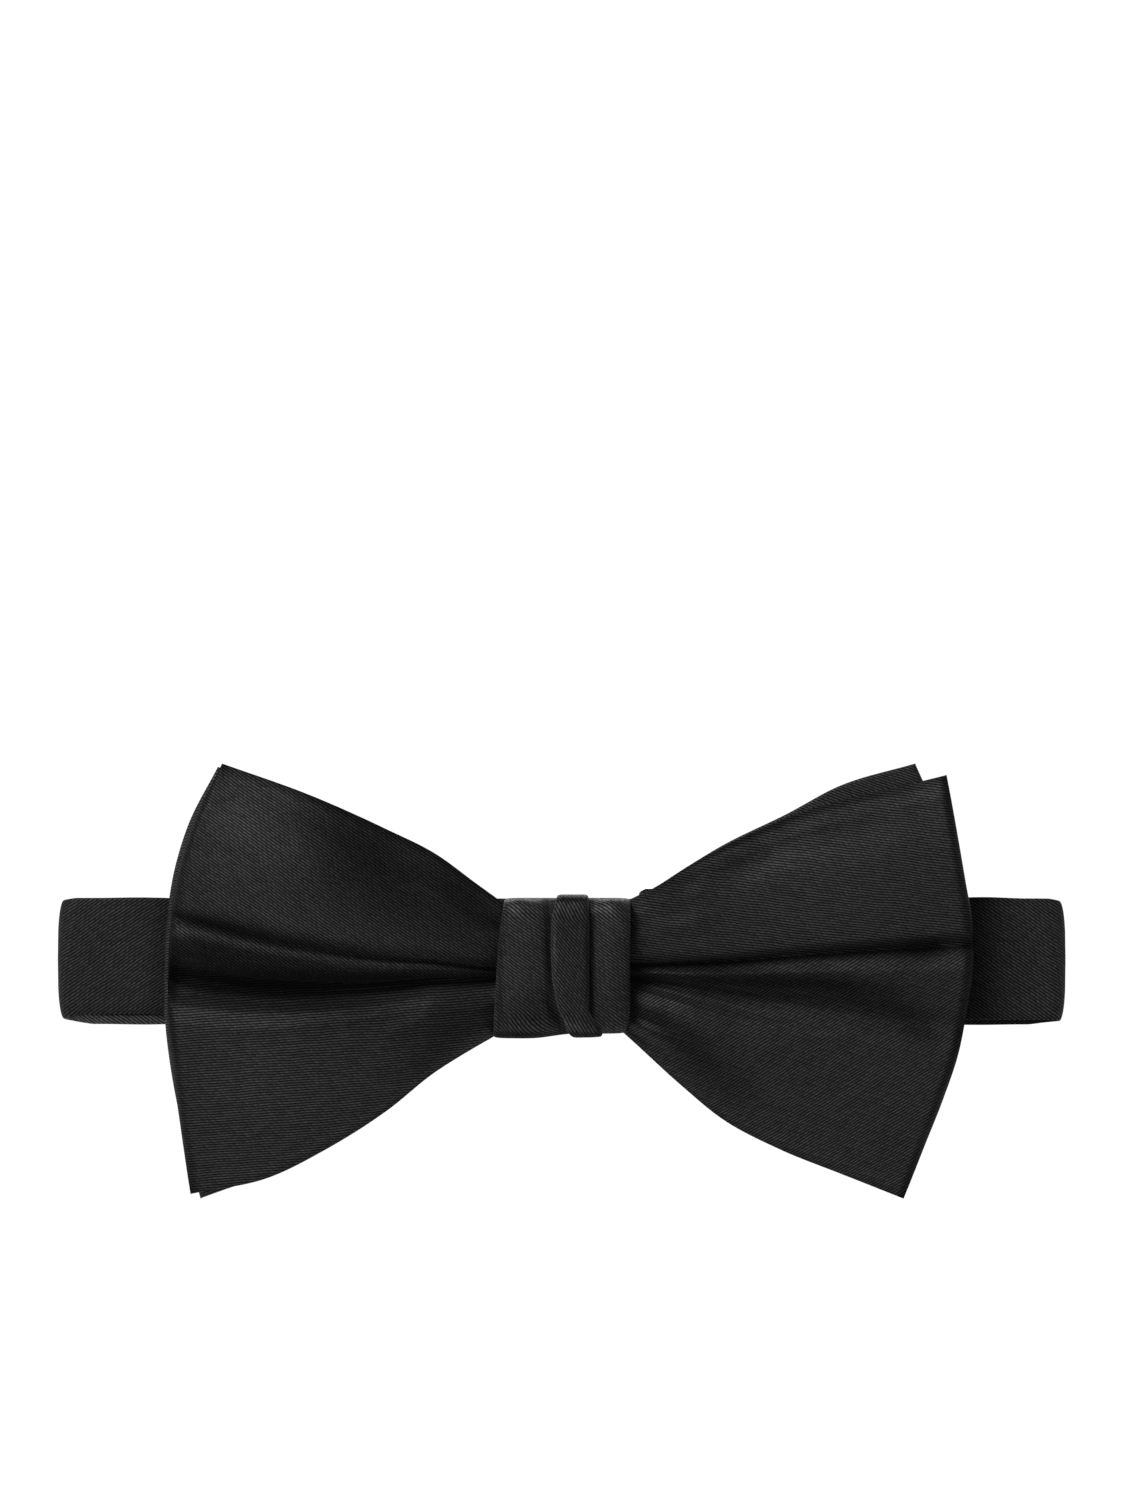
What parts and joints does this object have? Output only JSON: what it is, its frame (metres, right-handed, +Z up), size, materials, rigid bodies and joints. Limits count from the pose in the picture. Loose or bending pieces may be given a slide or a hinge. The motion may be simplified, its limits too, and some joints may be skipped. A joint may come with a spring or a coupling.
{
  "type": "bow tie",
  "caption": "Pre-tied butterfly bow tie in black satin twill with a pleated knot, folded neckband, hook, eye and sliding adjuster.",
  "frame": {"origin": "on the back face of the neckband's front run, on the knot's centre line, where the collar holds it", "axes": "+Z up as worn, +Y back towards the neck, +X to the right as seen from the front"},
  "size_m": [0.1502, 0.0233, 0.0648],
  "materials": {
    "satin_front": "satin twill",
    "satin_rear": "satin twill",
    "satin_knot": "satin twill",
    "satin_band": "bold twill",
    "interlining": "matt woven canvas",
    "thread": "twisted sewing thread",
    "black_metal": "black enamel, worn at the edges"
  },
  "bodies": {
    "bow": {"knot_wrap": "satin_knot", "knot_interlining": "interlining", "gather_thread": "thread", "knot_closing_stitches": "thread", "rear_bow_backing": "satin_rear", "rear_bow_interlining": "interlining", "rear_bow_face": "satin_rear", "front_bow_backing": "satin_front", "front_bow_interlining": "interlining", "front_bow_face": "satin_front", "neckband_front_run": "satin_band", "neckband_front_run_interlining": "interlining", "left_first_fold": "satin_band", "right_first_fold": "satin_band"},
    "left_inner": {"left_inner_run": "satin_band", "left_inner_run_interlining": "interlining", "left_second_fold_bend": "satin_band"},
    "left_outer": {"left_outer_run": "satin_band", "left_outer_run_interlining": "interlining", "eye_hem": "satin_band", "eye_hem_bar_tack": "thread"},
    "left_eye": {"eye": "black_metal"},
    "right_inner": {"right_inner_run": "satin_band", "right_inner_run_interlining": "interlining", "right_second_fold_bend": "satin_band"},
    "right_outer": {"right_outer_run": "satin_band", "right_outer_run_interlining": "interlining", "right_sliding_stretch": "satin_band"},
    "right_turn": {"hook_turn": "satin_band"},
    "right_hook": {"hook": "black_metal"},
    "slider": {"adjuster_slider": "black_metal", "slider_hem": "satin_band", "slider_hem_bar_tack": "thread", "return_run": "satin_band"}
  },
  "joints": [
    {"name": "left_first_fold", "type": "hinge", "parent": "bow", "child": "left_inner", "pos_m": [-0.0724, 0.0015, 0.00025], "axis": [0, 0, 1], "range_deg": [0, 180], "deforming": ["left_first_fold"]},
    {"name": "left_second_fold", "type": "hinge", "parent": "left_inner", "child": "left_outer", "pos_m": [-0.019, 0.0053, 0.00025], "axis": [0, 0, -1], "range_deg": [0, 140], "deforming": ["left_second_fold_bend"]},
    {"name": "eye_swivel", "type": "hinge", "parent": "left_outer", "child": "left_eye", "pos_m": [-0.046, 0.0086, 0.00025], "axis": [0, 0, -1], "range_deg": [-10, 80]},
    {"name": "right_first_fold", "type": "hinge", "parent": "bow", "child": "right_inner", "pos_m": [0.0724, 0.0015, 0.00025], "axis": [0, 0, -1], "range_deg": [0, 180], "deforming": ["right_first_fold"]},
    {"name": "right_second_fold", "type": "hinge", "parent": "right_inner", "child": "right_outer", "pos_m": [-0.011, 0.0053, 0.00025], "axis": [0, 0, 1], "range_deg": [0, 140], "deforming": ["right_second_fold_bend"]},
    {"name": "hook_slide", "type": "slide", "parent": "right_outer", "child": "right_turn", "axis": [1, 0, 0], "range_m": [-0.01, 0.012], "deforming": ["right_sliding_stretch"]},
    {"name": "slider_slide", "type": "slide", "parent": "right_turn", "child": "slider", "axis": [1, 0, 0], "range_m": [-0.01, 0.012], "deforming": ["return_run"]},
    {"name": "hook_swivel", "type": "hinge", "parent": "right_turn", "child": "right_hook", "pos_m": [0.046, 0.0086, 0.00025], "axis": [0, 0, 1], "range_deg": [-10, 80]}
  ],
  "couplings": [
    {"joint": "slider_slide", "follows": "hook_slide", "ratio": 1}
  ]
}
